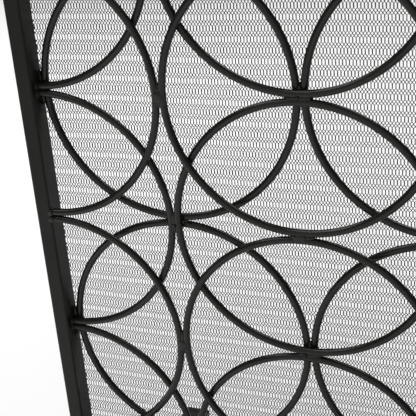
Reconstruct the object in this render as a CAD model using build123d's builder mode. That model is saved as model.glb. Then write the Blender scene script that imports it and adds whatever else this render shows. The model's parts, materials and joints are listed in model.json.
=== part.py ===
from build123d import *
import os
from math import cos, radians, sin

# Free-standing fireplace screen: a tube frame filled with three layers of overlapping rod rings, a mesh
# spark guard on its back, and two feet. Millimetres, +X to the right, +Y to the back (the fire), +Z up.
# Origin: on the floor, under the middle of the screen.

# ---- driving dimensions ----
PITCH = 114.3              # from one ring centre to the next column or row
COLUMNS = 8                # pitches across the ring pattern
ROWS = 6                   # pitches up the ring pattern
ROD = 6.35                 # rod diameter
ROD_GAP = 0.02             # room left between rods that are welded to each other
RING_ROOM = 1.5            # from the ring pattern's edge to the frame, bridged by the rods' straight ends
TUBE_FACE = 14.5           # frame tube, seen from the front
TUBE_DEPTH = 20.0          # frame tube, front to back
TUBE_WALL = 1.2
TUBE_RADIUS = 2.0          # outer corner of the tube section
FLOOR_DROP = 0.5 * PITCH   # from the ring pattern's lower edge down to the floor
BACK_ROOM = 0.05           # from the back rods to the plane of the tube's back
MESH_THICK = 0.5
MESH_LAP = 10.0            # how far the mesh laps onto the tube
STRIP_WIDE = 10.0
STRIP_THICK = 1.5
STRIP_GAP = 0.5            # between an upright strip's end and the strip across it
TAPPING_SCREW = 3.5        # screw diameter
TAPPING_LENGTH = 8.0       # below the head
TAPPING_HEAD = 7.0
TAPPING_HEAD_HIGH = 2.2
HEAD_ROUNDING = 0.6        # share of a screw head's height taken by its rounded rim
SCREW_CLEARANCE = 0.05     # on the radius
SCREWS_ACROSS = 7          # on each horizontal strip
SCREWS_UP = 4              # on each vertical strip
FOOT_X = 3.39 * PITCH      # foot's centre from the middle of the screen
FOOT_WIDE = 25.4
FOOT_HIGH = 12.7
FOOT_LONG = 213.0          # with its end plugs
FOOT_WALL = 1.5
FOOT_RADIUS = 2.0
PLUG_FLANGE = 1.5
PLUG_DEEP = 12.0
PLUG_CLEARANCE = 0.05      # on each side, inside the bar
PAD_THICK = 3.0
PAD_RADIUS = 9.0
PAD_CHAMFER = 0.6
PAD_Y = 90.0
UPRIGHT_DEEP = 19.0
PLATE_LONG = 62.0
PLATE_DEEP = 19.0
PLATE_THICK = 3.0
PLATE_RADIUS = 3.0
BOLT_X = 22.0              # bolt from the foot's centre line
BOLT = 5.0
BOLT_LENGTH = 14.0
BOLT_HEAD = 9.5
BOLT_HEAD_HIGH = 2.7
BOLT_CLEARANCE = 0.25      # on the radius, in the foot plate
HEX_FLATS = 3.0            # socket in the bolt's head, across the flats
HEX_DEEP = 1.6
NUT_BODY = 7.0
NUT_FLANGE = 9.0
NUT_FLANGE_THICK = 0.8
NUT_LONG = 11.0

# ---- worked out ----
EDGE_X = COLUMNS / 2 * PITCH
EDGE_LOW = FLOOR_DROP
EDGE_HIGH = EDGE_LOW + ROWS * PITCH
INNER_X = EDGE_X + RING_ROOM
INNER_LOW = EDGE_LOW - RING_ROOM
INNER_HIGH = EDGE_HIGH + RING_ROOM
OUTER_X = INNER_X + TUBE_FACE
OUTER_LOW = INNER_LOW - TUBE_FACE
OUTER_HIGH = INNER_HIGH + TUBE_FACE
MIDDLE_Z = (INNER_LOW + INNER_HIGH) / 2
LAYER = ROD + ROD_GAP
RING_RADIUS = PITCH - ROD / 2 - ROD_GAP / 2
BACK_Y = LAYER + ROD / 2 + BACK_ROOM
TUBE_Y = BACK_Y - TUBE_DEPTH / 2
TUBE_X = INNER_X + TUBE_FACE / 2
TUBE_LOW = INNER_LOW - TUBE_FACE / 2
TUBE_HIGH = INNER_HIGH + TUBE_FACE / 2
MESH_BACK = BACK_Y + MESH_THICK
STRIP_BACK = MESH_BACK + STRIP_THICK
STRIP_X = TUBE_X
STRIP_LOW = TUBE_LOW
STRIP_HIGH = TUBE_HIGH
BAR_TOP = PAD_THICK + FOOT_HIGH
PLATE_LOW = OUTER_LOW - PLATE_THICK

os.makedirs("parts", exist_ok=True)


def save(piece, name):
    piece.part.label = name
    export_step(piece.part, f"parts/{name}.step")


# ---- where the mesh screws stand: (x, z) ----
step_across = 2 * STRIP_X / SCREWS_ACROSS
across = [-STRIP_X + step_across * (i + 0.5) for i in range(SCREWS_ACROSS)]
step_up = (STRIP_HIGH - STRIP_LOW) / SCREWS_UP
upward = [STRIP_LOW + step_up * (i + 0.5) for i in range(SCREWS_UP)]
top_screws = [(x, STRIP_HIGH) for x in across]
bottom_screws = [(x, STRIP_LOW) for x in across]
left_screws = [(-STRIP_X, z) for z in upward]
right_screws = [(STRIP_X, z) for z in upward]
all_screws = top_screws + bottom_screws + left_screws + right_screws
foot_bolts = [(side * FOOT_X + dx, TUBE_Y) for side in (-1, 1) for dx in (-BOLT_X, BOLT_X)]


def front_plane(y):
    """An upright plane at depth y, drawn in x and z, whose normal points to the back."""
    return Plane(origin=(0, y, 0), x_dir=(-1, 0, 0), z_dir=(0, 1, 0))


def on_front(points):
    """Points (x, z) in the axes of front_plane."""
    return [(-x, z) for x, z in points]


def drill(points, radius, y, amount):
    """Round holes from depth y towards the back, in the piece being built."""
    with BuildSketch(front_plane(y)) as holes:
        with Locations(*on_front(points)):
            Circle(radius)
    extrude(holes.sketch, amount=amount, mode=Mode.SUBTRACT)


def tube_section():
    """The frame tube's section, face along x and depth along y."""
    RectangleRounded(TUBE_FACE, TUBE_DEPTH, TUBE_RADIUS)
    RectangleRounded(
        TUBE_FACE - 2 * TUBE_WALL, TUBE_DEPTH - 2 * TUBE_WALL, TUBE_RADIUS - TUBE_WALL, mode=Mode.SUBTRACT
    )


# ---- frame: two posts and two rails, mitred at the corners ----
def mitre(side, end, keep):
    """Cuts the piece being built along a corner's diagonal; side and end are -1 or 1."""
    corner = (side * OUTER_X, 0, OUTER_HIGH if end > 0 else OUTER_LOW)
    split(bisect_by=Plane(origin=corner, x_dir=(0, 1, 0), z_dir=(side, 0, -end)), keep=keep)


for name, side, holes in (("left_post", -1, left_screws), ("right_post", 1, right_screws)):
    with BuildPart() as post:
        with BuildSketch(Plane(origin=(side * TUBE_X, TUBE_Y, OUTER_LOW), z_dir=(0, 0, 1))):
            tube_section()
        extrude(amount=OUTER_HIGH - OUTER_LOW)
        mitre(side, -1, Keep.TOP)
        mitre(side, 1, Keep.TOP)
        drill(holes, TAPPING_SCREW / 2 + SCREW_CLEARANCE, BACK_Y - 2 * TUBE_WALL, 3 * TUBE_WALL)
    save(post, name)

for name, end, holes in (("bottom_rail", -1, bottom_screws), ("top_rail", 1, top_screws)):
    with BuildPart() as rail:
        middle_z = TUBE_HIGH if end > 0 else TUBE_LOW
        with BuildSketch(Plane(origin=(-OUTER_X, TUBE_Y, middle_z), x_dir=(0, 0, 1), z_dir=(1, 0, 0))):
            tube_section()
        extrude(amount=2 * OUTER_X)
        mitre(-1, end, Keep.BOTTOM)
        mitre(1, end, Keep.BOTTOM)
        drill(holes, TAPPING_SCREW / 2 + SCREW_CLEARANCE, BACK_Y - 2 * TUBE_WALL, 3 * TUBE_WALL)
        if end < 0:
            with BuildSketch(Plane.XY.offset(OUTER_LOW - TUBE_WALL)):
                with Locations(*foot_bolts):
                    Circle(NUT_BODY / 2 + SCREW_CLEARANCE)
            extrude(amount=3 * TUBE_WALL, mode=Mode.SUBTRACT)
    save(rail, name)


# ---- rod rings, in three layers welded one behind the other ----
def rod_plane(centre, angle):
    """The plane across a ring's rod at that angle, seen from the front."""
    out = Vector(cos(radians(angle)), 0, sin(radians(angle)))
    along = Vector(-sin(radians(angle)), 0, cos(radians(angle)))
    return Plane(origin=centre + out * RING_RADIUS, x_dir=(0, 1, 0), z_dir=along)


def bent_rod(x, y, z, first, turn):
    """A rod bent round (x, y, z) from the angle first through turn degrees, with straight ends."""
    centre = Vector(x, y, z)
    with BuildSketch(rod_plane(centre, first)) as start:
        Circle(ROD / 2)
    revolve(start.sketch, axis=Axis(centre, (0, -1, 0)), revolution_arc=turn)
    if turn < 360:
        with BuildSketch(rod_plane(centre, first + turn)) as end:
            Circle(ROD / 2)
        extrude(start.sketch, amount=-RING_ROOM)
        extrude(end.sketch, amount=RING_ROOM)


def column_x(column):
    return (column - COLUMNS / 2) * PITCH


def row_z(row):
    return EDGE_HIGH - row * PITCH


def layer_rings(label, y, columns, rows):
    """One layer: whole rings inside the frame, half rings on its posts and rails."""
    for i, row in enumerate(rows, 1):
        for j, column in enumerate(columns, 1):
            on_side = column in (0, COLUMNS)
            on_end = row in (0, ROWS)
            if on_side and on_end:
                continue
            first, turn = 0, 360
            name = f"{label}_ring_{i}_{j}"
            if on_side:
                first, turn = (-90, 180) if column == 0 else (90, 180)
                name = f"{label}_half_ring_{i}_{'left' if column == 0 else 'right'}"
            if on_end:
                first, turn = (180, 180) if row == 0 else (0, 180)
                name = f"{label}_half_ring_{'top' if row == 0 else 'bottom'}_{j}"
            with BuildPart() as ring:
                bent_rod(column_x(column), y, row_z(row), first, turn)
            save(ring, name)


layer_rings("front", -LAYER, (0, 2, 4, 6, 8), (1, 3, 5))
layer_rings("middle", 0, (0, 2, 4, 6, 8), (0, 2, 4, 6))
layer_rings("back", LAYER, (1, 3, 5, 7), (1, 3, 5))

with BuildPart() as quarter_rings:
    bent_rod(-EDGE_X, 0, EDGE_HIGH, 270, 90)
    bent_rod(EDGE_X, 0, EDGE_HIGH, 180, 90)
    bent_rod(EDGE_X, 0, EDGE_LOW, 90, 90)
    bent_rod(-EDGE_X, 0, EDGE_LOW, 0, 90)
save(quarter_rings, "corner_quarter_rings")

# ---- mesh spark guard on the back of the frame: a sheet with the outer shape of the wire mesh ----
with BuildPart() as mesh_panel:
    with BuildSketch(front_plane(BACK_Y)):
        with Locations((0, MIDDLE_Z)):
            Rectangle(2 * (INNER_X + MESH_LAP), INNER_HIGH - INNER_LOW + 2 * MESH_LAP)
    extrude(amount=MESH_THICK)
    drill(all_screws, TAPPING_SCREW / 2 + SCREW_CLEARANCE, BACK_Y - MESH_THICK, 3 * MESH_THICK)
save(mesh_panel, "mesh_panel")

# ---- strips that clamp the mesh: two across, two upright between them ----
with BuildPart() as strips_across:
    with BuildSketch(front_plane(MESH_BACK)):
        with Locations((0, STRIP_LOW), (0, STRIP_HIGH)):
            Rectangle(2 * STRIP_X + STRIP_WIDE, STRIP_WIDE)
    extrude(amount=STRIP_THICK)
    drill(top_screws + bottom_screws, TAPPING_SCREW / 2 + SCREW_CLEARANCE, MESH_BACK, STRIP_THICK)
save(strips_across, "mesh_strips_across")

with BuildPart() as strips_upright:
    with BuildSketch(front_plane(MESH_BACK)):
        with Locations((-STRIP_X, MIDDLE_Z), (STRIP_X, MIDDLE_Z)):
            Rectangle(STRIP_WIDE, STRIP_HIGH - STRIP_LOW - STRIP_WIDE - 2 * STRIP_GAP)
    extrude(amount=STRIP_THICK)
    drill(left_screws + right_screws, TAPPING_SCREW / 2 + SCREW_CLEARANCE, MESH_BACK, STRIP_THICK)
save(strips_upright, "mesh_strips_upright")

with BuildPart() as mesh_screws:
    with BuildSketch(front_plane(STRIP_BACK)):
        with Locations(*on_front(all_screws)):
            Circle(TAPPING_SCREW / 2)
    extrude(amount=-TAPPING_LENGTH)
    with BuildSketch(front_plane(STRIP_BACK)):
        with Locations(*on_front(all_screws)):
            Circle(TAPPING_HEAD / 2)
    extrude(amount=TAPPING_HEAD_HIGH)
    head_rims = mesh_screws.edges().filter_by(GeomType.CIRCLE).group_by(Axis.Y)[-1]
    fillet(head_rims, TAPPING_HEAD_HIGH * HEAD_ROUNDING)
save(mesh_screws, "mesh_screws")

# ---- feet ----
for name, side in (("left_foot_bar", -1), ("right_foot_bar", 1)):
    bar_middle = (side * FOOT_X, -FOOT_LONG / 2 + PLUG_FLANGE, PAD_THICK + FOOT_HIGH / 2)
    with BuildPart() as foot_bar:
        with BuildSketch(Plane(origin=bar_middle, x_dir=(1, 0, 0), z_dir=(0, 1, 0))):
            RectangleRounded(FOOT_WIDE, FOOT_HIGH, FOOT_RADIUS)
            RectangleRounded(
                FOOT_WIDE - 2 * FOOT_WALL, FOOT_HIGH - 2 * FOOT_WALL, FOOT_RADIUS / 4, mode=Mode.SUBTRACT
            )
        extrude(amount=FOOT_LONG - 2 * PLUG_FLANGE)
    save(foot_bar, name)

with BuildPart() as foot_plugs:
    for side in (-1, 1):
        for end in (-1, 1):
            bar_end = (side * FOOT_X, end * (FOOT_LONG / 2 - PLUG_FLANGE), PAD_THICK + FOOT_HIGH / 2)
            with BuildSketch(Plane(origin=bar_end, x_dir=(1, 0, 0), z_dir=(0, end, 0))):
                RectangleRounded(FOOT_WIDE, FOOT_HIGH, FOOT_RADIUS)
            extrude(amount=PLUG_FLANGE)
            with BuildSketch(Plane(origin=bar_end, x_dir=(1, 0, 0), z_dir=(0, -end, 0))):
                RectangleRounded(
                    FOOT_WIDE - 2 * (FOOT_WALL + PLUG_CLEARANCE),
                    FOOT_HIGH - 2 * (FOOT_WALL + PLUG_CLEARANCE),
                    FOOT_RADIUS / 3,
                )
            extrude(amount=PLUG_DEEP)
    for end_group in (0, -1):
        end_face_rims = foot_plugs.faces().group_by(Axis.Y)[end_group].edges()
        fillet(end_face_rims, PLUG_FLANGE / 2)
save(foot_plugs, "foot_end_plugs")

with BuildPart() as foot_pads:
    with BuildSketch():
        with Locations(*[(side * FOOT_X, end * PAD_Y) for side in (-1, 1) for end in (-1, 1)]):
            Circle(PAD_RADIUS)
    extrude(amount=PAD_THICK)
    chamfer(foot_pads.edges().filter_by(GeomType.CIRCLE).group_by(Axis.Z)[0], PAD_CHAMFER)
save(foot_pads, "foot_pads")

with BuildPart() as foot_uprights:
    with BuildSketch(Plane.XY.offset(BAR_TOP)):
        with Locations((-FOOT_X, TUBE_Y), (FOOT_X, TUBE_Y)):
            RectangleRounded(FOOT_WIDE, UPRIGHT_DEEP, FOOT_RADIUS)
            RectangleRounded(
                FOOT_WIDE - 2 * FOOT_WALL, UPRIGHT_DEEP - 2 * FOOT_WALL, FOOT_RADIUS / 4, mode=Mode.SUBTRACT
            )
    extrude(amount=PLATE_LOW - BAR_TOP)
save(foot_uprights, "foot_uprights")

with BuildPart() as foot_plates:
    with BuildSketch(Plane.XY.offset(PLATE_LOW)):
        with Locations((-FOOT_X, TUBE_Y), (FOOT_X, TUBE_Y)):
            RectangleRounded(PLATE_LONG, PLATE_DEEP, PLATE_RADIUS)
    extrude(amount=PLATE_THICK)
    with Locations(*[Location((x, y, OUTER_LOW)) for x, y in foot_bolts]):
        CounterBoreHole(
            BOLT / 2 + BOLT_CLEARANCE, NUT_FLANGE / 2 + BOLT_CLEARANCE, NUT_FLANGE_THICK + SCREW_CLEARANCE
        )
save(foot_plates, "foot_plates")

with BuildPart() as foot_screws:
    with BuildSketch(Plane.XY.offset(PLATE_LOW)):
        with Locations(*foot_bolts):
            Circle(BOLT / 2)
    extrude(amount=BOLT_LENGTH)
    with BuildSketch(Plane.XY.offset(PLATE_LOW - BOLT_HEAD_HIGH)):
        with Locations(*foot_bolts):
            Circle(BOLT_HEAD / 2)
    extrude(amount=BOLT_HEAD_HIGH)
    fillet(foot_screws.edges().filter_by(GeomType.CIRCLE).group_by(Axis.Z)[0], BOLT_HEAD_HIGH * HEAD_ROUNDING)
    with BuildSketch(Plane.XY.offset(PLATE_LOW - BOLT_HEAD_HIGH)):
        with Locations(*foot_bolts):
            RegularPolygon(HEX_FLATS / 2, 6, major_radius=False)
    extrude(amount=HEX_DEEP, mode=Mode.SUBTRACT)
save(foot_screws, "foot_screws")

with BuildPart() as rivet_nuts:
    with BuildSketch(Plane.XY.offset(OUTER_LOW - NUT_FLANGE_THICK)):
        with Locations(*foot_bolts):
            Circle(NUT_FLANGE / 2)
    extrude(amount=NUT_FLANGE_THICK)
    with BuildSketch(Plane.XY.offset(OUTER_LOW - NUT_FLANGE_THICK)):
        with Locations(*foot_bolts):
            Circle(NUT_BODY / 2)
    extrude(amount=NUT_LONG)
    with BuildSketch(Plane.XY.offset(OUTER_LOW - NUT_FLANGE_THICK)):
        with Locations(*foot_bolts):
            Circle(BOLT / 2 + SCREW_CLEARANCE)
    extrude(amount=NUT_LONG, mode=Mode.SUBTRACT)
save(rivet_nuts, "rivet_nuts")
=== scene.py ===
import json
import math
import random

import bmesh
import bpy
import numpy as np
from mathutils import Matrix, Vector, noise


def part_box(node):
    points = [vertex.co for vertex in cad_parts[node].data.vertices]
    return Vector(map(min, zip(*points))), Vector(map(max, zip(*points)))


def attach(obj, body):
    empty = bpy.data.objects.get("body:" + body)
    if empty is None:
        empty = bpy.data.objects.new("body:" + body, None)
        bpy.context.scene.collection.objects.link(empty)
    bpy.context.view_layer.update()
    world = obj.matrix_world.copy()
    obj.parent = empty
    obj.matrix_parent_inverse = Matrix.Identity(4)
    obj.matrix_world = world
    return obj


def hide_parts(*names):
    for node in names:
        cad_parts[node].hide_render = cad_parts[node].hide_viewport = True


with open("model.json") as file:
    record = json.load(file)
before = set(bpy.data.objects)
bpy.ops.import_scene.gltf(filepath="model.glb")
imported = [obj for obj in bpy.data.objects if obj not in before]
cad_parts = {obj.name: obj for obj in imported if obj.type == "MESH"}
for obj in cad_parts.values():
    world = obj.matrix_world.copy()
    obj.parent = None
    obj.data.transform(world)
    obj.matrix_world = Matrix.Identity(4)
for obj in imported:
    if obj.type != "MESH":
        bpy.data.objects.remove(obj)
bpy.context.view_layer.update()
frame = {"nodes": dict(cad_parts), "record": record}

# Metres, in the row frame: +X to the right, +Y to the back, +Z up, the floor at z = 0.

# ---- the lattice that the rods follow, read from the frame ----
COLUMNS, ROWS = 8, 6
inner_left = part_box("left_post")[1].x
inner_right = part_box("right_post")[0].x
inner_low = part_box("bottom_rail")[1].z
inner_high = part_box("top_rail")[0].z


def middle(node):
    """The centre of a CAD node's box."""
    low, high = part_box(node)
    return (low + high) / 2


first_ring, second_ring = middle("middle_ring_2_2"), middle("middle_ring_3_3")
pitch = (second_ring.x - first_ring.x) / 2
rod_radius = (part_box("middle_ring_2_2")[1].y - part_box("middle_ring_2_2")[0].y) / 2
layer_y = {label: middle(f"{label}_ring_2_2").y for label in ("front", "middle", "back")}


def column_x(column):
    return first_ring.x + (column - 2) * pitch


def row_z(row):
    return first_ring.z - (row - 2) * pitch


# ---- camera, at the photograph's viewing angle ----
CAMERA_AT = Vector((-0.0230, -0.6771, 0.6132))
CAMERA_LENS = 82.68          # millimetres on a 36 mm sensor
CAMERA_YAW = math.radians(23.05)
CAMERA_DOWN = math.radians(22.94)
CAMERA_ROLL = math.radians(-4.87)


def add_camera():
    data = bpy.data.cameras.new("camera")
    data.sensor_width = 36
    data.lens = CAMERA_LENS
    data.clip_start, data.clip_end = 0.01, 60
    camera = bpy.data.objects.new("camera", data)
    turn = (
        Matrix.Rotation(CAMERA_YAW, 4, "Z")
        @ Matrix.Rotation(math.radians(90) - CAMERA_DOWN, 4, "X")
        @ Matrix.Rotation(CAMERA_ROLL, 4, "Z")
    )
    camera.matrix_world = Matrix.Translation(CAMERA_AT) @ turn
    bpy.context.scene.collection.objects.link(camera)
    bpy.context.scene.camera = camera


# ---- materials ----
NOISE_LOW, NOISE_HIGH = 0.3, 0.7     # nearly all of a noise lies between these
PATCH_SCALE, PATCH_DETAIL = 18.0, 6.0
GLOSS_SCALE, GLOSS_DETAIL = 60.0, 4.0
GRAIN_DETAIL = 2.0
GRAIN_HIGH = 0.0001          # metres


def new_material(name):
    """A material, its node tree, its shader, and where on the piece a point lies."""
    material = bpy.data.materials.new(name)
    material.use_nodes = True
    tree = material.node_tree
    shader = tree.nodes["Principled BSDF"]
    where = tree.nodes.new("ShaderNodeTexCoord")
    return material, tree, shader, where.outputs["Object"]


def noise_value(tree, where, scale, detail, low=0.0, high=1.0):
    """A noise of that many waves a metre, spread over low to high."""
    texture = tree.nodes.new("ShaderNodeTexNoise")
    texture.inputs["Scale"].default_value = scale
    texture.inputs["Detail"].default_value = detail
    spread = tree.nodes.new("ShaderNodeMapRange")
    spread.inputs["From Min"].default_value = NOISE_LOW
    spread.inputs["From Max"].default_value = NOISE_HIGH
    spread.inputs["To Min"].default_value = low
    spread.inputs["To Max"].default_value = high
    tree.links.new(where, texture.inputs["Vector"])
    tree.links.new(texture.outputs["Fac"], spread.inputs["Value"])
    return spread.outputs["Result"]


def mixed_colour(tree, share, dark, light):
    """Dark where the share is 0, light where it's 1."""
    mix = tree.nodes.new("ShaderNodeMix")
    mix.data_type = "RGBA"
    mix.inputs["A"].default_value = (*dark, 1)
    mix.inputs["B"].default_value = (*light, 1)
    tree.links.new(share, mix.inputs["Factor"])
    return mix.outputs["Result"]


def add_bump(tree, shader, height, strength):
    bump = tree.nodes.new("ShaderNodeBump")
    bump.inputs["Distance"].default_value = GRAIN_HIGH
    bump.inputs["Strength"].default_value = strength
    tree.links.new(height, bump.inputs["Height"])
    tree.links.new(bump.outputs["Normal"], shader.inputs["Normal"])


def coated(name, dark, light, rough, metal=0.0, specular=0.27, grain=900.0, bump=0.25):
    """A painted or moulded finish: faint colour patches, uneven gloss and a fine skin."""
    material, tree, shader, where = new_material(name)
    patches = noise_value(tree, where, PATCH_SCALE, PATCH_DETAIL)
    tree.links.new(mixed_colour(tree, patches, dark, light), shader.inputs["Base Color"])
    gloss = noise_value(tree, where, GLOSS_SCALE, GLOSS_DETAIL, *rough)
    tree.links.new(gloss, shader.inputs["Roughness"])
    shader.inputs["Metallic"].default_value = metal
    shader.inputs["Specular IOR Level"].default_value = specular
    add_bump(tree, shader, noise_value(tree, where, grain, GRAIN_DETAIL), bump)
    return material


PAINT_DARK, PAINT_LIGHT = (0.0125, 0.0130, 0.0108), (0.0175, 0.0180, 0.0152)
frame_paint = coated("frame_paint", PAINT_DARK, PAINT_LIGHT, (0.34, 0.42), specular=0.2, bump=0.08)
rod_paint = coated("rod_paint", PAINT_DARK, PAINT_LIGHT, (0.20, 0.28), specular=0.36, bump=0.14)
weld_paint = coated("weld_paint", PAINT_DARK, PAINT_LIGHT, (0.22, 0.30), specular=0.36, bump=0.12)
wire_paint = coated(
    "wire_paint", (0.009, 0.0095, 0.0091), (0.014, 0.0148, 0.0142), (0.5, 0.65), specular=0.1, grain=2500.0
)
strip_paint = coated("strip_paint", PAINT_DARK, PAINT_LIGHT, (0.44, 0.56))
foot_paint = coated("foot_paint", PAINT_DARK, PAINT_LIGHT, (0.38, 0.50))
screw_oxide = coated("screw_oxide", (0.015, 0.015, 0.017), (0.03, 0.03, 0.033), (0.3, 0.42), metal=0.6)
nut_zinc = coated("nut_zinc", (0.5, 0.5, 0.47), (0.66, 0.66, 0.64), (0.28, 0.4), metal=1.0)
pad_rubber = coated("pad_rubber", (0.016, 0.016, 0.016), (0.028, 0.028, 0.028), (0.75, 0.9), specular=0.3)
plug_plastic = coated(
    "plug_plastic", (0.022, 0.023, 0.022), (0.03, 0.031, 0.03), (0.5, 0.6), grain=2200.0, bump=0.5
)

SLOT_MATERIAL = {
    "frame_black": frame_paint,
    "rod_black": rod_paint,
    "mesh_black": wire_paint,
    "strip_black": strip_paint,
    "foot_black": foot_paint,
    "screw_black": screw_oxide,
    "nut_zinc": nut_zinc,
    "pad_rubber": pad_rubber,
    "plug_plastic": plug_plastic,
}
slot_of = {part["node"]: part["material_slot"] for part in frame["record"]["subparts"]}


def paint_cad_nodes():
    for name, node in frame["nodes"].items():
        for place in node.material_slots:
            place.material = SLOT_MATERIAL[slot_of[name]]


# ---- pieces ----
def add_piece(name, mesh, material):
    mesh.materials.append(material)
    piece = bpy.data.objects.new(name, mesh)
    bpy.context.scene.collection.objects.link(piece)
    mesh.polygons.foreach_set("use_smooth", [True] * len(mesh.polygons))
    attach(piece, "root")
    return piece


# ---- wire mesh: upright wires, each swinging between two columns of bars ----
CELL_WIDE = 0.00267          # from bar to bar
ROW_PERIOD = 0.0086          # one row of long bars and two rows of short ones
BAR_HIGH = 0.0040            # long bars, where two wires run side by side
SHORT_BAR_HIGH = 0.0009
SLANT_HIGH = (ROW_PERIOD - BAR_HIGH - 2 * SHORT_BAR_HIGH) / 3
WIRE_WIDE = 0.00042
WIRE_DEEP = 0.00048
WIRE_SHIFT = 0.00001         # how far a wire passes in front of or behind the panel's middle
WIRE_JITTER = 0.00004        # standard deviation of each bend from its place
SLANT = math.atan2(CELL_WIDE / 2 - WIRE_WIDE, SLANT_HIGH)
MITRE = math.tan(SLANT / 2)  # how far a section tilts at a bend, so that the wire keeps its width
TWIST_SWELL = 1.1            # how much wider a wire is where it twists round its neighbour
PANEL_WAVE = 0.0002          # how far the weave wanders sideways; up and down it is twice as far
WANDER_X = (11.0, 37.0)      # its waves sideways, in radians a metre along x and z
WANDER_Z = (29.0, 17.0)      # its waves up and down
MESH_PIECES = 12
EDGE_ROOM = 0.0004           # from the panel's left edge to the first wire

# The six bends of a wire in one row, from the top: a long bar, then two short ones.
BEND_DROPS = np.cumsum([0.0, BAR_HIGH, SLANT_HIGH, SHORT_BAR_HIGH, SLANT_HIGH, SHORT_BAR_HIGH])
BEND_BARS = np.array([0, 0, 1, 1, 2, 2])                # the bar that each bend belongs to
BEND_AFTER_SLANT = np.array([1, 0, 1, 0, 1, 0])         # 1 where a slant ends, 0 where one starts
BEND_SWELL = np.array([1, 1, TWIST_SWELL, TWIST_SWELL, TWIST_SWELL, TWIST_SWELL])
SECTION = np.array([[0.5, 0.0], [-0.5, 0.5], [-0.5, -0.5]]) * (WIRE_WIDE, WIRE_DEEP)


def wire_lines(first, last, left_edge, top_edge, depth, rows):
    """The wires from first up to last, which isn't one of them.

    Returns their centre lines (wires, bends, 3), each bend's tilt and each wire's facing.
    """
    half = CELL_WIDE / 2
    wires = np.arange(first, last)[:, None]
    row = np.arange(rows)[None, :, None]
    bar = (3 * row + BEND_BARS).reshape(1, -1)
    facing = np.where(wires % 2 == 0, 1.0, -1.0)
    left = left_edge + wires * half + WIRE_WIDE / 2
    right = left_edge + (wires + 1) * half - WIRE_WIDE / 2
    x = np.where((wires + bar) % 2 == 0, left, right)
    y = depth + facing * WIRE_SHIFT * np.where(bar % 2 == 0, 1.0, -1.0)
    z = np.broadcast_to((top_edge - row * ROW_PERIOD - BEND_DROPS).reshape(1, -1), x.shape)
    draws = np.random.RandomState(first)
    x = x + draws.normal(0, WIRE_JITTER, x.shape)
    z = z + draws.normal(0, WIRE_JITTER, z.shape)
    x = x + PANEL_WAVE * np.sin(WANDER_X[0] * x + WANDER_X[1] * z)
    z = z + 2 * PANEL_WAVE * np.sin(WANDER_Z[0] * x + WANDER_Z[1] * z)
    slant_from = (wires + bar - np.tile(BEND_AFTER_SLANT, rows)) % 2
    tilt = np.where(slant_from == 0, MITRE, -MITRE)
    return np.stack([x, y, z], axis=-1), tilt, facing


def wires_mesh(name, lines, tilt, facing):
    """Three-sided wires along the lines, closed at both ends, each other wire facing the other way."""
    wires, bends = lines.shape[:2]
    sides = len(SECTION)
    wide = facing * np.resize(BEND_SWELL, bends)
    rings = np.repeat(lines[:, :, None, :], sides, axis=2)
    rings[..., 0] += wide[..., None] * SECTION[:, 0]
    rings[..., 1] += facing[..., None] * SECTION[:, 1]
    rings[..., 2] += (wide * tilt)[..., None] * SECTION[:, 0]

    index = np.arange(wires * bends * sides).reshape(wires, bends, sides)
    turned = np.roll(index, -1, axis=2)
    walls = np.stack([index[:, :-1], index[:, 1:], turned[:, 1:], turned[:, :-1]], axis=-1).reshape(-1, 4)
    ends = np.concatenate([index[:, 0], index[:, -1, ::-1]])
    corners = np.concatenate([walls.ravel(), ends.ravel()])
    starts = np.concatenate([np.arange(len(walls)) * 4, walls.size + np.arange(len(ends)) * sides])
    mesh = bpy.data.meshes.new(name)
    mesh.vertices.add(rings.size // 3)
    mesh.vertices.foreach_set("co", rings.astype(np.float32).ravel())
    mesh.loops.add(len(corners))
    mesh.loops.foreach_set("vertex_index", corners.astype(np.int32))
    mesh.polygons.add(len(starts))
    mesh.polygons.foreach_set("loop_start", starts.astype(np.int32))
    mesh.update(calc_edges=True)
    mesh.validate()
    return mesh


def add_wire_mesh():
    low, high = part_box("mesh_panel")
    count = int((high.x - low.x) / (CELL_WIDE / 2)) - 1
    rows = int((high.z - low.z) / ROW_PERIOD)
    depth = (low.y + high.y) / 2
    cuts = np.linspace(0, count, MESH_PIECES + 1).astype(int)
    for i in range(MESH_PIECES):
        lines = wire_lines(cuts[i], cuts[i + 1], low.x + EDGE_ROOM, high.z, depth, rows)
        name = f"wire_mesh_{i + 1}"
        piece = add_piece(name, wires_mesh(name, *lines), wire_paint)
        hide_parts("mesh_panel")


# ---- welds ----
# Each bead is its half length, half width and half height.
GROOVE_BEAD = (0.0105, 0.0021, 0.0017)
FRAME_BEAD = (0.0150, 0.0021, 0.0018)
CROSSING_BEAD = (0.0021, 0.0021, 0.0015)
CORNER_BEAD = (0.0024, 0.0027, 0.0009)
SMEAR = (0.0055, 0.0036, 0.0010)
TACK = (0.0019, 0.0018, 0.0020)
BLUNTNESS = 0.7              # under 1: a bead's ends are blunter than an ellipsoid's
ROUGHNESS = 0.12             # how uneven a bead is, as a share of its size
LUMP_SCALE = 1.7             # of a bead's lumps, in noise waves a half length
LUMP_SLOPE = 0.37            # a bead's place in the noise: its second coordinate over its first
RIPPLE = 0.05                # share of its thickness
RIPPLES = 14                 # radians of ripple a half length
LENGTH_SPREAD = (0.9, 1.1)
# How far a bead lies from the middle of its groove, rod or crossing, in rod radii.
GROOVE_OUT = 0.42
SMEAR_OUT, TACK_OUT = 0.9, 0.8
CORNER_OUT = 1.08
TOUCH_OUT = 0.6
CROSSING_ASIDE = 1.9
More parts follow.
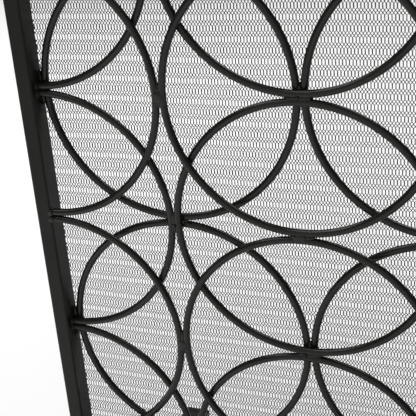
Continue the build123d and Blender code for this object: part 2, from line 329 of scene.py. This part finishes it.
# How far a bead may slip from its place.
GROOVE_SLIP = 0.001
SMEAR_SLIP, SMEAR_ASIDE = 0.003, 0.001
CROSSING_SLIP = 0.0006
CORNER_SUNK = 0.0008         # how far a corner bead's middle lies inside the post
TOUCH_ROOM = 0.001           # from the frame's inner face to a bead's centre line
COLLAR_REACH = 0.0013        # how far a collar spreads over the frame, and up the rod
COLLAR_UNEVEN = 0.35         # share of its reach
COLLAR_SCALE = 2.0           # of its unevenness, in noise waves a radius
COLLAR_SUNK = 0.96           # its inner edge, in rod radii
COLLAR_SIDES, COLLAR_RINGS = 24, 7
SEAM_WIDE = 0.0019
SEAM_SHORT = 0.0015          # from a seam's end to the edge it stops at
X, Y, Z = Vector((1, 0, 0)), Vector((0, 1, 0)), Vector((0, 0, 1))

# The columns and rows of each layer's ring centres; those on the edge are half or quarter rings.
RING_PLACES = {
    "front": ((0, 2, 4, 6, 8), (1, 3, 5)),
    "middle": ((0, 2, 4, 6, 8), (0, 2, 4, 6)),
    "back": ((1, 3, 5, 7), (1, 3, 5)),
}
shake = random.Random(7)


def lump(bm, centre, along, across, size):
    """An uneven bead: its length lies along, its width across, and its height square to both."""
    long, wide, high = size
    out = along.cross(across)
    phase = shake.uniform(0, 100)
    place = Vector((phase, phase * LUMP_SLOPE, 0))
    made = bmesh.ops.create_icosphere(bm, subdivisions=3, radius=1.0)
    for vert in made["verts"]:
        p = vert.co.copy()
        swell = 1 + ROUGHNESS * noise.noise(p * LUMP_SCALE + place)
        thick = swell * (1 + RIPPLE * math.sin(p.x * RIPPLES + phase))
        reach = math.copysign(abs(p.x) ** BLUNTNESS, p.x) * swell
        vert.co = centre + along * reach * long + across * p.y * wide * thick + out * p.z * high * thick


def collar(bm, centre, along):
    """The fillet weld round a rod's end: along points from the frame up the rod."""
    side = along.orthogonal().normalized()
    other = along.cross(side)
    phase = shake.uniform(0, 100)
    grid = []
    for j in range(COLLAR_RINGS):
        angle = j / (COLLAR_RINGS - 1) * math.pi / 2
        grid.append([])
        for i in range(COLLAR_SIDES):
            turn = 2 * math.pi * i / COLLAR_SIDES
            place = Vector((math.cos(turn) * COLLAR_SCALE, math.sin(turn) * COLLAR_SCALE, phase))
            reach = COLLAR_REACH * (1 + COLLAR_UNEVEN * noise.noise(place))
            radius = rod_radius * COLLAR_SUNK + reach * (1 - math.sin(angle))
            height = reach * (1 - math.cos(angle))
            point = centre + along * height + (side * math.cos(turn) + other * math.sin(turn)) * radius
            grid[-1].append(bm.verts.new(point))
    for near, far in zip(grid, grid[1:]):
        for i in range(COLLAR_SIDES):
            k = (i + 1) % COLLAR_SIDES
            bm.faces.new((near[i], near[k], far[k], far[i]))
    bm.faces.new(reversed(grid[0]))
    bm.faces.new(grid[-1])


def groove_beads(bm, label, columns, rows):
    """Beads in the groove between two rings of one layer, at the front and at the back."""
    spots = [(column + 1, row, Z, X) for row in rows for column in columns[:-1]]
    spots += [(column, row + 1, X, Z) for column in columns for row in rows[:-1]]
    for column, row, along, across in spots:
        if column in (0, COLUMNS) or row in (0, ROWS):
            continue
        groove = Vector((column_x(column), layer_y[label], row_z(row)))
        for face in (-1, 1):
            slip = along * shake.uniform(-GROOVE_SLIP, GROOVE_SLIP)
            spot = groove + Y * face * rod_radius * GROOVE_OUT + slip
            length = GROOVE_BEAD[0] * shake.uniform(*LENGTH_SPREAD)
            lump(bm, spot, along, across, (length, *GROOVE_BEAD[1:]))
        slip = along * shake.uniform(-SMEAR_SLIP, 0) + across * shake.uniform(-SMEAR_ASIDE, SMEAR_ASIDE)
        size, out = (SMEAR, SMEAR_OUT) if label == "front" else (TACK, TACK_OUT)
        lump(bm, groove + slip - Y * rod_radius * out, along, across, size)


def end_beads(bm, label, columns, rows):
    """Fillets where the half and quarter rings end on the frame."""
    radius = pitch - rod_radius
    y = layer_y[label]
    for row in rows:
        for side_x, along in ((inner_left, X), (inner_right, -X)):
            for z in (row_z(row) - radius, row_z(row) + radius):
                if not inner_low < z < inner_high:
                    continue
                collar(bm, Vector((side_x, y, z)), along)
                if label == "front":
                    corner = Vector((side_x, y - rod_radius * CORNER_OUT, z)) - along * CORNER_SUNK
                    lump(bm, corner, X, Z, CORNER_BEAD)
    if label != "middle":
        return
    for column in columns:
        for rail_z, along in ((inner_low, Z), (inner_high, -Z)):
            for x in (column_x(column) - radius, column_x(column) + radius):
                if inner_left < x < inner_right:
                    collar(bm, Vector((x, y, rail_z)), along)


def touch_beads(bm, label, columns, rows):
    """Beads where a whole ring touches a post or a rail."""
    places = []
    if label == "back":
        places += [(inner_left + TOUCH_ROOM, row_z(row), Z, X) for row in rows]
        places += [(inner_right - TOUCH_ROOM, row_z(row), Z, X) for row in rows]
    for column in columns:
        if column not in (0, COLUMNS):
            places.append((column_x(column), inner_low + TOUCH_ROOM, X, Z))
            places.append((column_x(column), inner_high - TOUCH_ROOM, X, Z))
    for x, z, along, across in places:
        for face in (-1, 1):
            spot = Vector((x, layer_y[label] + face * rod_radius * TOUCH_OUT, z))
            lump(bm, spot, along, across, FRAME_BEAD)


def crossing_beads(bm):
    """Beads where two rods of the middle layer cross two of the back layer."""
    y = (layer_y["middle"] + layer_y["back"]) / 2
    for column in range(1, COLUMNS):
        for row in range(1, ROWS):
            if (column + row) % 2 == 0:
                continue
            aside = X if column % 2 else Z
            for face in (-1, 1):
                reach = CROSSING_ASIDE * rod_radius + shake.uniform(-CROSSING_SLIP, CROSSING_SLIP)
                spot = Vector((column_x(column), y, row_z(row))) + aside * face * reach
                lump(bm, spot, X, Z, CROSSING_BEAD)


def add_made(name, bm, material):
    """A piece from a finished bmesh."""
    mesh = bpy.data.meshes.new(name)
    bm.to_mesh(mesh)
    bm.free()
    return add_piece(name, mesh, material)


def add_rod_welds():
    for label, (columns, rows) in RING_PLACES.items():
        bm = bmesh.new()
        groove_beads(bm, label, columns, rows)
        if label != "back":
            end_beads(bm, label, columns, rows)
        if label != "middle":
            touch_beads(bm, label, columns, rows)
        else:
            crossing_beads(bm)
        add_made(f"{label}_welds", bm, weld_paint)


def add_foot_welds():
    """Seams under and over each foot's upright."""
    low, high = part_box("foot_uprights")
    half_deep = (high.y - low.y) / 2
    bm = bmesh.new()
    for foot in ("left_foot_bar", "right_foot_bar"):
        half_wide = (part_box(foot)[1].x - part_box(foot)[0].x) / 2
        x, y = middle(foot).x, middle("foot_uprights").y
        for face in (-1, 1):
            foot_seam = Vector((x, y + face * half_deep, low.z))
            lump(bm, foot_seam, X, Y, (half_wide - SEAM_SHORT, SEAM_WIDE, SEAM_WIDE))
            plate_seam = Vector((x + face * half_wide, y, high.z))
            lump(bm, plate_seam, Y, X, (half_deep - SEAM_SHORT, SEAM_WIDE, SEAM_WIDE))
    add_made("foot_welds", bm, weld_paint)


# ---- screws of the mesh strips, with a cross recess in their heads ----
HEAD_RADIUS = 0.0035
HEAD_HIGH = 0.0022
HEAD_RIM = 0.6               # share of the head's height taken by its rounded rim
SHANK_RADIUS = 0.00175
SHANK_LONG = 0.008
CROSS_REACH = 0.0019
CROSS_HALF = 0.00038         # half the width of one arm of the cross
CROSS_DEEP = 0.0011
CROSS_RISE = 0.5             # share of the cross's depth lost at the ends of its arms
ARM_SOFT, REACH_SOFT = 0.00012, 0.0002     # half the width of the edges of its arms, and of their ends
HEAD_RINGS, HEAD_SIDES = 22, 64
RING_SPREAD = 0.8            # under 1: the head's rings lie closer together towards the rim
SCREWS_ACROSS, SCREWS_UP = 7, 4
HEAD_ANGLES = [2 * math.pi * i / HEAD_SIDES for i in range(HEAD_SIDES)]


def fade(value, edge, soft):
    """1 well below the edge, 0 well above it."""
    share = min(max((edge + soft - value) / (2 * soft), 0), 1)
    return share * share * (3 - 2 * share)


def head_height(radius, angle):
    """The head's surface above the strip at that place."""
    rim = HEAD_RIM * HEAD_HIGH
    inside = HEAD_RADIUS - rim
    height = HEAD_HIGH
    if radius > inside:
        height += math.sqrt(max(rim * rim - (radius - inside) ** 2, 0)) - rim
    from_arm = min(abs(radius * math.cos(angle)), abs(radius * math.sin(angle)))
    cross = fade(from_arm, CROSS_HALF, ARM_SOFT) * fade(radius, CROSS_REACH, REACH_SOFT)
    return height - CROSS_DEEP * cross * (1 - CROSS_RISE * radius / CROSS_REACH)


def screw_ring(bm, centre, radius, turn, heights):
    """A ring of points round a screw's axis, each at its height above the head's underside."""
    ring = []
    for angle, height in zip(HEAD_ANGLES, heights):
        out = Vector((math.cos(angle + turn), 0, math.sin(angle + turn)))
        ring.append(bm.verts.new(centre + out * radius + Y * height))
    return ring


def add_screw(bm, centre, turn):
    """One screw: centre is the middle of its head's underside, and the head points to the back."""
    tip = bm.verts.new(centre + Y * head_height(0, 0))
    rings = []
    for j in range(1, HEAD_RINGS + 1):
        radius = HEAD_RADIUS * (j / HEAD_RINGS) ** RING_SPREAD
        heights = [head_height(radius, angle) for angle in HEAD_ANGLES]
        rings.append(screw_ring(bm, centre, radius, turn, heights))
    for radius, height in ((HEAD_RADIUS, 0.0), (SHANK_RADIUS, 0.0), (SHANK_RADIUS, -SHANK_LONG)):
        rings.append(screw_ring(bm, centre, radius, turn, [height] * HEAD_SIDES))
    for i in range(HEAD_SIDES):
        k = (i + 1) % HEAD_SIDES
        bm.faces.new((tip, rings[0][k], rings[0][i]))
        for near, far in zip(rings, rings[1:]):
            bm.faces.new((near[i], near[k], far[k], far[i]))
    bm.faces.new(rings[-1])


def add_mesh_screws():
    low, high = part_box("mesh_screws")
    left, right = low.x + HEAD_RADIUS, high.x - HEAD_RADIUS
    bottom, top = low.z + HEAD_RADIUS, high.z - HEAD_RADIUS
    across = [left + (right - left) * (i + 0.5) / SCREWS_ACROSS for i in range(SCREWS_ACROSS)]
    upward = [bottom + (top - bottom) * (i + 0.5) / SCREWS_UP for i in range(SCREWS_UP)]
    places = [(x, z) for z in (bottom, top) for x in across]
    places += [(x, z) for x in (left, right) for z in upward]
    bm = bmesh.new()
    for x, z in places:
        add_screw(bm, Vector((x, high.y - HEAD_HIGH, z)), shake.uniform(0, math.pi / 2))
    screws = add_made("cross_head_screws", bm, screw_oxide)
    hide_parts("mesh_screws")


# ---- floor and light ----
FLOOR_SIZE = 30
WORLD_STRENGTH = 0.1
KEY_POWER = 75
LEFT_POWER = 54
RIGHT_POWER = 72
FRONT_POWER = 22


def add_floor():
    bpy.ops.mesh.primitive_plane_add(size=FLOOR_SIZE, location=(0, 0, 0))
    floor = bpy.context.object
    floor.name = "floor"
    material, _, shader, _ = new_material("floor_white")
    shader.inputs["Base Color"].default_value = (0.92, 0.92, 0.92, 1)
    shader.inputs["Roughness"].default_value = 0.9
    shader.inputs["Specular IOR Level"].default_value = 0.1
    floor.data.materials.append(material)


def add_area(name, at, towards, size, power):
    data = bpy.data.lights.new(name, "AREA")
    data.shape = "RECTANGLE"
    data.size, data.size_y = size
    data.energy = power
    light = bpy.data.objects.new(name, data)
    light.location = at
    light.rotation_mode = "QUATERNION"
    light.rotation_quaternion = (Vector(towards) - Vector(at)).to_track_quat("-Z", "Y")
    bpy.context.scene.collection.objects.link(light)


def add_light():
    world = bpy.data.worlds.new("studio")
    world.use_nodes = True
    world.node_tree.nodes["Background"].inputs["Color"].default_value = (1, 1, 1, 1)
    world.node_tree.nodes["Background"].inputs["Strength"].default_value = WORLD_STRENGTH
    bpy.context.scene.world = world
    add_area("key_light", (-2.1, -0.3, 3.9), (-0.3, 0, 0.4), (2.0, 2.4), KEY_POWER)
    add_area("left_light", (-2.3, 1.2, 3.0), (-0.7, 0.8, 0), (1.8, 1.8), LEFT_POWER)
    add_area("right_light", (1.0, 2.4, 3.8), (0.1, 1.0, 0), (2.0, 2.0), RIGHT_POWER)
    add_area("front_light", (0, -3.5, 1.8), (0, 0, 0.6), (5.0, 2.8), FRONT_POWER)
    bpy.context.scene.view_settings.view_transform = "Standard"


add_camera()
paint_cad_nodes()
add_wire_mesh()
add_rod_welds()
add_foot_welds()
add_mesh_screws()
add_floor()
add_light()
